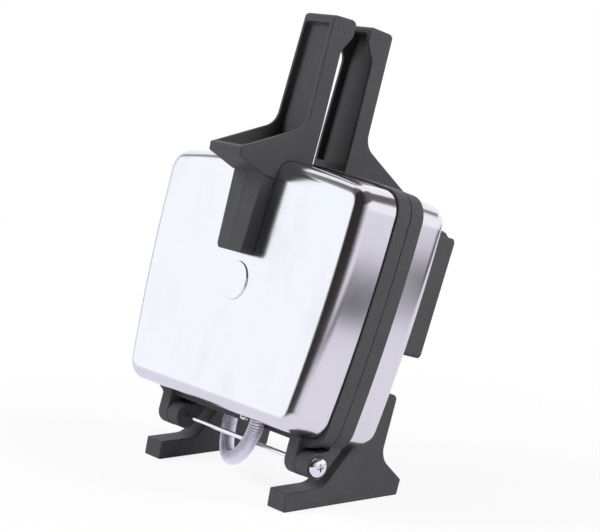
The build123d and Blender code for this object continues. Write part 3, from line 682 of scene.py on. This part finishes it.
class FinishCooking(bpy.types.Operator):
    """Finish the cooking plates with their heaters and shields."""
    bl_idname = "waffle.finish_cooking"
    bl_label = "Cooking plates and heaters"

    def execute(self, context):
        look = context.scene.waffle_cooking
        coat(coated_cast("plate coating", look.coating, 0.42), "front_plate", "rear_plate")
        coat(heater_sheath("heater sheath", look.sheath), "front_heater", "rear_heater")
        coat(brushed_steel("shield sheet", look.shield, 0.32, 1800.0),
             "front_heat_shield", "rear_heat_shield")
        return {"FINISHED"}


class MakeConduit(bpy.types.Operator):
    """Wind the steel conduit between the two halves."""
    bl_idname = "waffle.make_conduit"
    bl_label = "Conduit"

    def execute(self, context):
        sizes = context.scene.waffle_conduit
        line = conduit_line()
        runs = [0.0]
        for before, after in zip(line, line[1:]):
            runs.append(runs[-1] + (after - before).length)
        total = runs[-1]
        steady = (line[-1] - line[0]).cross(Vector((0, 1, 0))).normalized()

        def along(run):
            """Point and direction at a length from the lid's end."""
            step = min(max(bisect(runs, run), 1), len(runs) - 1)
            share = (run - runs[step - 1]) / (runs[step] - runs[step - 1])
            before, after = line[step - 1], line[step]
            return before.lerp(after, share), (after - before).normalized()

        rows = int(total / sizes.pitch * ROWS_PER_TURN) + 1
        valleys = []

        def point(row, side):
            run = total * row / (rows - 1)
            spot, heading = along(run)
            turn = 2 * math.pi * side / sizes.sides
            phase = 2 * math.pi * run / sizes.pitch - turn
            hollow = (0.5 - 0.5 * math.cos(phase)) ** 3
            valleys.append(hollow)
            radius = sizes.radius - sizes.groove * hollow
            side_way = heading.cross(steady)
            return place(*(spot + (steady * math.cos(turn) + side_way * math.sin(turn)) * radius))

        made = grid_mesh(rows, sizes.sides, point)
        mesh = to_mesh(made, "conduit_winding", math.pi)
        marks = mesh.attributes.new("valley", "FLOAT", "POINT")
        padded = valleys + [0.5] * (len(mesh.vertices) - len(valleys))
        marks.data.foreach_set("value", padded)
        look = context.scene.waffle_fitting
        piece = new_piece("conduit_winding", mesh, None,
                          wound_steel("wound steel", look.wound, 0.45),
                          ("conduit",))
        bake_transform(piece)
        return {"FINISHED"}


class MakeHinge(bpy.types.Operator):
    """Polish the hinge rod and make its recessed heads."""
    bl_idname = "waffle.make_hinge"
    bl_label = "Hinge rod"

    def execute(self, context):
        look = context.scene.waffle_fitting
        chrome = bright_metal("polished rod", look.bright, 0.12, 900.0)
        coat(chrome, "hinge_rod")
        joined = bmesh.new()
        for points in solids_of("hinge_rod_heads"):
            low, high = points_low(points), points_high(points)
            right = low.x > 0
            radius, height = (high.y - low.y) / 2, high.x - low.x
            made = to_mesh(lathe(self.profile(radius, height), ROD_HEAD_SIDES), "head")
            made = cut_away(made, cross_cutter(1.5, 6.6, height * RECESS_SHARE, height))
            turn = Matrix.Rotation(math.pi / 2 if right else -math.pi / 2, 4, "Y")
            middle = Vector((low.x if right else high.x, (low.y + high.y) / 2,
                             (low.z + high.z) / 2))
            spin = Matrix.Rotation(math.radians(20), 4, "Z")
            made.transform(BODY @ Matrix.Scale(MM, 4) @ Matrix.Translation(middle) @ turn @ spin)
            joined.from_mesh(made)
        new_piece("hinge_rod_heads_recessed", to_mesh(joined, "hinge_rod_heads"), "base", chrome,
                  ("hinge_rod_heads",))
        return {"FINISHED"}

    @staticmethod
    def profile(radius, height):
        """Domed head from its top to its flat underside."""
        points = [(AXIS_RADIUS, height)]
        for step in range(1, ROD_HEAD_STEPS + 1):
            turn = math.pi / 2 * step / ROD_HEAD_STEPS
            points.append((radius * math.sin(turn),
                           ROD_HEAD_RIM + (height - ROD_HEAD_RIM) * math.cos(turn)))
        return points + [(radius, ROD_HEAD_CHAMFER), (radius - ROD_HEAD_CHAMFER, 0.0),
                         (AXIS_RADIUS, 0.0)]


class MakeScrews(bpy.types.Operator):
    """Replace the plain screws by recessed and threaded ones."""
    bl_idname = "waffle.make_screws"
    bl_label = "Screws and nuts"

    def execute(self, context):
        look = context.scene.waffle_fitting
        zinc = bright_metal("zinc plate", look.bright, 0.24)
        for node, axis, body in (
                ("foot_screws", 2, "base"), ("control_box_screws", 2, "base"),
                ("rear_handle_screws", 2, "base"), ("rear_plate_screws", 2, "base"),
                ("rear_cover_screw", 1, "base"), ("front_handle_screws", 2, "lid"),
                ("front_plate_screws", 2, "lid"), ("front_cover_screw", 1, "lid")):
            screws_for(node, axis, body, zinc)
        coat(zinc, "foot_nuts")
        return {"FINISHED"}


class FinishWiring(bpy.types.Operator):
    """Finish the wires, bushes and blocks."""
    bl_idname = "waffle.finish_wiring"
    bl_label = "Wiring and controls"

    def execute(self, context):
        look = context.scene.waffle_fitting
        coat(woven_sleeve("woven sleeve", look.sleeve), "front_leads", "rear_leads")
        coat(glazed_ceramic("glazed ceramic", look.ceramic), "terminal_block", "thermostat")
        coat(smooth_plastic("bush rubber", look.dark, 0.6), "cord_gland", "front_conduit_bush",
             "rear_conduit_bush")
        coat(smooth_plastic("wheel plastic", look.dark, 0.35), "heat_wheel")
        return {"FINISHED"}


class SetStudio(bpy.types.Operator):
    """Lay the pale floor, hang the soft lamps and place the camera."""
    bl_idname = "waffle.set_studio"
    bl_label = "Studio"

    def execute(self, context):
        look = context.scene.waffle_studio
        scene = context.scene
        scene.view_settings.view_transform = "Standard"
        lens = bpy.data.cameras.new("camera")
        lens.sensor_fit, lens.sensor_width, lens.lens = "HORIZONTAL", 36.0, look.lens
        lens.clip_end = 50.0
        camera = bpy.data.objects.new("camera", lens)
        camera.location, camera.rotation_euler = look.camera_place, look.camera_turn
        scene.collection.objects.link(camera)
        scene.camera = camera
        self.lay_floor(scene)
        self.hang_lamp(scene, "key lamp", (-1.3, -1.5, 1.5), 1.6, look.key_power)
        self.hang_lamp(scene, "fill lamp", (1.7, 0.9, 1.4), 1.3, look.fill_power)
        self.light_room(scene, look)
        return {"FINISHED"}

    @staticmethod
    def lay_floor(scene):
        """Pale floor that fades to white away from the object and keeps its shadow; in reflections
        it glows with a painted dark reflection patch.
        """
        mesh = bmesh.new()
        bmesh.ops.create_circle(mesh, cap_ends=True, segments=96, radius=FLOOR_RADIUS)
        floor = bpy.data.objects.new("floor", to_mesh(mesh, "floor"))
        scene.collection.objects.link(floor)
        paint = new_paint("pale floor")
        where = paint.node("TexCoord", out="Object")
        away = paint.node("VectorMath", {"operation": "LENGTH"}, {0: where}, out="Value")
        rays = {name: paint.node("LightPath", out=name)
                for name in ("Is Camera Ray", "Is Glossy Ray", "Is Transmission Ray")}
        seen = rays["Is Camera Ray"] * (0.88 + away.ramp(0.12, 0.5) * 0.12)
        mirrored = (rays["Is Glossy Ray"] + rays["Is Transmission Ray"]) * 0.95
        across = paint.node("VectorMath", {"operation": "DOT_PRODUCT"},
                            {0: where, 1: (0.866, 0.5, 0.0)}, out="Value")
        beside = paint.node("VectorMath", {"operation": "DOT_PRODUCT"},
                            {0: where, 1: (-0.5, 0.866, 0.0)}, out="Value")
        gap = beside.ramp(-0.08, -0.03) * (1.0 - beside.ramp(0.05, 0.10))
        # Painted reflection: a dark patch in the floor's glow that only glossy and transmission
        # rays see, with a lighter gap across it.
        painted_dark_reflection = across.ramp(0.44, 0.52) * (1.0 - across.ramp(0.68, 0.95)) * (1.0 - gap * 0.5)
        tone = paint.mix(painted_dark_reflection, (0.87, 0.84, 0.95, 1.0), (0.03, 0.03, 0.035, 1.0))
        colour = paint.mix(rays["Is Camera Ray"], tone, WHITE)
        matt = paint.node("BsdfDiffuse", {}, {"Color": (0.86, 0.86, 0.87, 1.0)})
        glow = paint.node("Emission", {}, {"Color": colour, "Strength": 1.0})
        both = paint.node("MixShader", {}, {0: seen + mirrored, 1: matt, 2: glow})
        paint.node("OutputMaterial", {}, {"Surface": both})
        floor.data.materials.append(paint.owner)

    @staticmethod
    def hang_lamp(scene, name, spot, size, power):
        """Square soft lamp turned towards the object."""
        lamp = bpy.data.lights.new(name, "AREA")
        lamp.shape, lamp.size, lamp.energy = "SQUARE", size, power
        holder = bpy.data.objects.new(name, lamp)
        holder.location = spot
        aim = LAMP_AIM - Vector(spot)
        holder.rotation_euler = aim.to_track_quat("-Z", "Y").to_euler()
        holder.visible_glossy = False
        scene.collection.objects.link(holder)

    @staticmethod
    def light_room(scene, look):
        """White to the camera, an even room for matt surfaces, and for gloss a white tent
        with its dark opening where the photographer stands."""
        room = bpy.data.worlds.new("white tent")
        scene.world = room
        paint = Paint(room)
        way = paint.node("TexCoord", out="Generated")

        parts = [paint.node("SeparateXYZ", {}, {"Vector": way}, out=name) for name in "XYZ"]
        degree = math.pi / 180
        turn = parts[0].maths("ARCTAN2", parts[0], parts[1] * -1.0) / degree
        rise = parts[2].maths("ARCSINE", parts[2]) / degree

        def window(value, low, high, soft):
            """1 between low and high, fading out over soft degrees on each side."""
            return value.ramp(low - soft, low) * (1.0 - value.ramp(high, high + soft))

        softbox = window(turn, -73.0, -43.0, 3.0) * window(rise, -9.0, 23.0, 3.0)
        edge = window(turn, -84.0, -40.0, 4.0) * window(rise, -16.0, 33.0, 4.0)
        opening = turn.ramp(-42.0, -39.0) * (1.0 - turn.ramp(45.0, 118.0))
        ceiling = rise.ramp(24.0, 29.0) * turn.ramp(-88.0, -78.0)
        tent = paint.mix(ceiling, (0.86, 0.85, 0.90, 1.0), (0.13, 0.11, 0.105, 1.0))
        dark = paint.mix(opening, tent, (0.03, 0.025, 0.026, 1.0))
        framed = paint.mix(edge * (1.0 - softbox), dark, (0.25, 0.25, 0.27, 1.0))
        glossy = paint.mix(softbox, framed, (0.935, 0.97, 1.0, 1.0))
        for_gloss = paint.node("Background", {}, {"Color": glossy, "Strength": 1.245})
        for_matt = paint.node("Background", {}, {"Color": WHITE, "Strength": look.room_light})
        for_camera = paint.node("Background", {}, {"Color": WHITE, "Strength": 1.0})
        is_gloss = paint.node("LightPath", out="Is Glossy Ray")
        is_through = paint.node("LightPath", out="Is Transmission Ray")
        is_camera = paint.node("LightPath", out="Is Camera Ray")
        inner = paint.node("MixShader", {}, {0: is_gloss + is_through, 1: for_matt, 2: for_gloss})
        outer = paint.node("MixShader", {}, {0: is_camera, 1: inner, 2: for_camera})
        paint.node("OutputWorld", {}, {"Surface": outer})


OPERATORS = (SetStudio, MakeConduit, FinishCovers, FinishMouldings, FinishCooking, MakeHinge,
             MakeScrews, FinishWiring)
LOOKS = {"waffle_steel": SteelLook, "waffle_moulding": MouldingLook,
         "waffle_cooking": CookingLook, "waffle_fitting": FittingLook,
         "waffle_conduit": ConduitSizes, "waffle_studio": StudioLook}


class WafflePanel(bpy.types.Panel):
    """Sidebar list of the waffle maker's steps."""
    bl_idname = "VIEW3D_PT_waffle_maker"
    bl_label = "Waffle maker"
    bl_space_type = "VIEW_3D"
    bl_region_type = "UI"
    bl_category = "Waffle maker"

    def draw(self, context):
        for name in LOOKS:
            box = self.layout.box()
            for prop in LOOKS[name].__annotations__:
                box.prop(getattr(context.scene, name), prop)
        for operator in OPERATORS:
            self.layout.operator(operator.bl_idname)


def register():
    """Adds the sizes, colours, steps and sidebar list."""
    for look in LOOKS.values():
        bpy.utils.register_class(look)
    for name, look in LOOKS.items():
        setattr(bpy.types.Scene, name, PointerProperty(type=look))
    for kind in OPERATORS + (WafflePanel,):
        bpy.utils.register_class(kind)


def unregister():
    """Takes them away again."""
    for kind in reversed(OPERATORS + (WafflePanel,)):
        bpy.utils.unregister_class(kind)
    for name, look in LOOKS.items():
        delattr(bpy.types.Scene, name)
        bpy.utils.unregister_class(look)


def main():
    """Runs every step."""
    register()
    for operator in OPERATORS:
        group, name = operator.bl_idname.split(".")
        getattr(getattr(bpy.ops, group), name)()


if __name__ == "__main__":
    main()
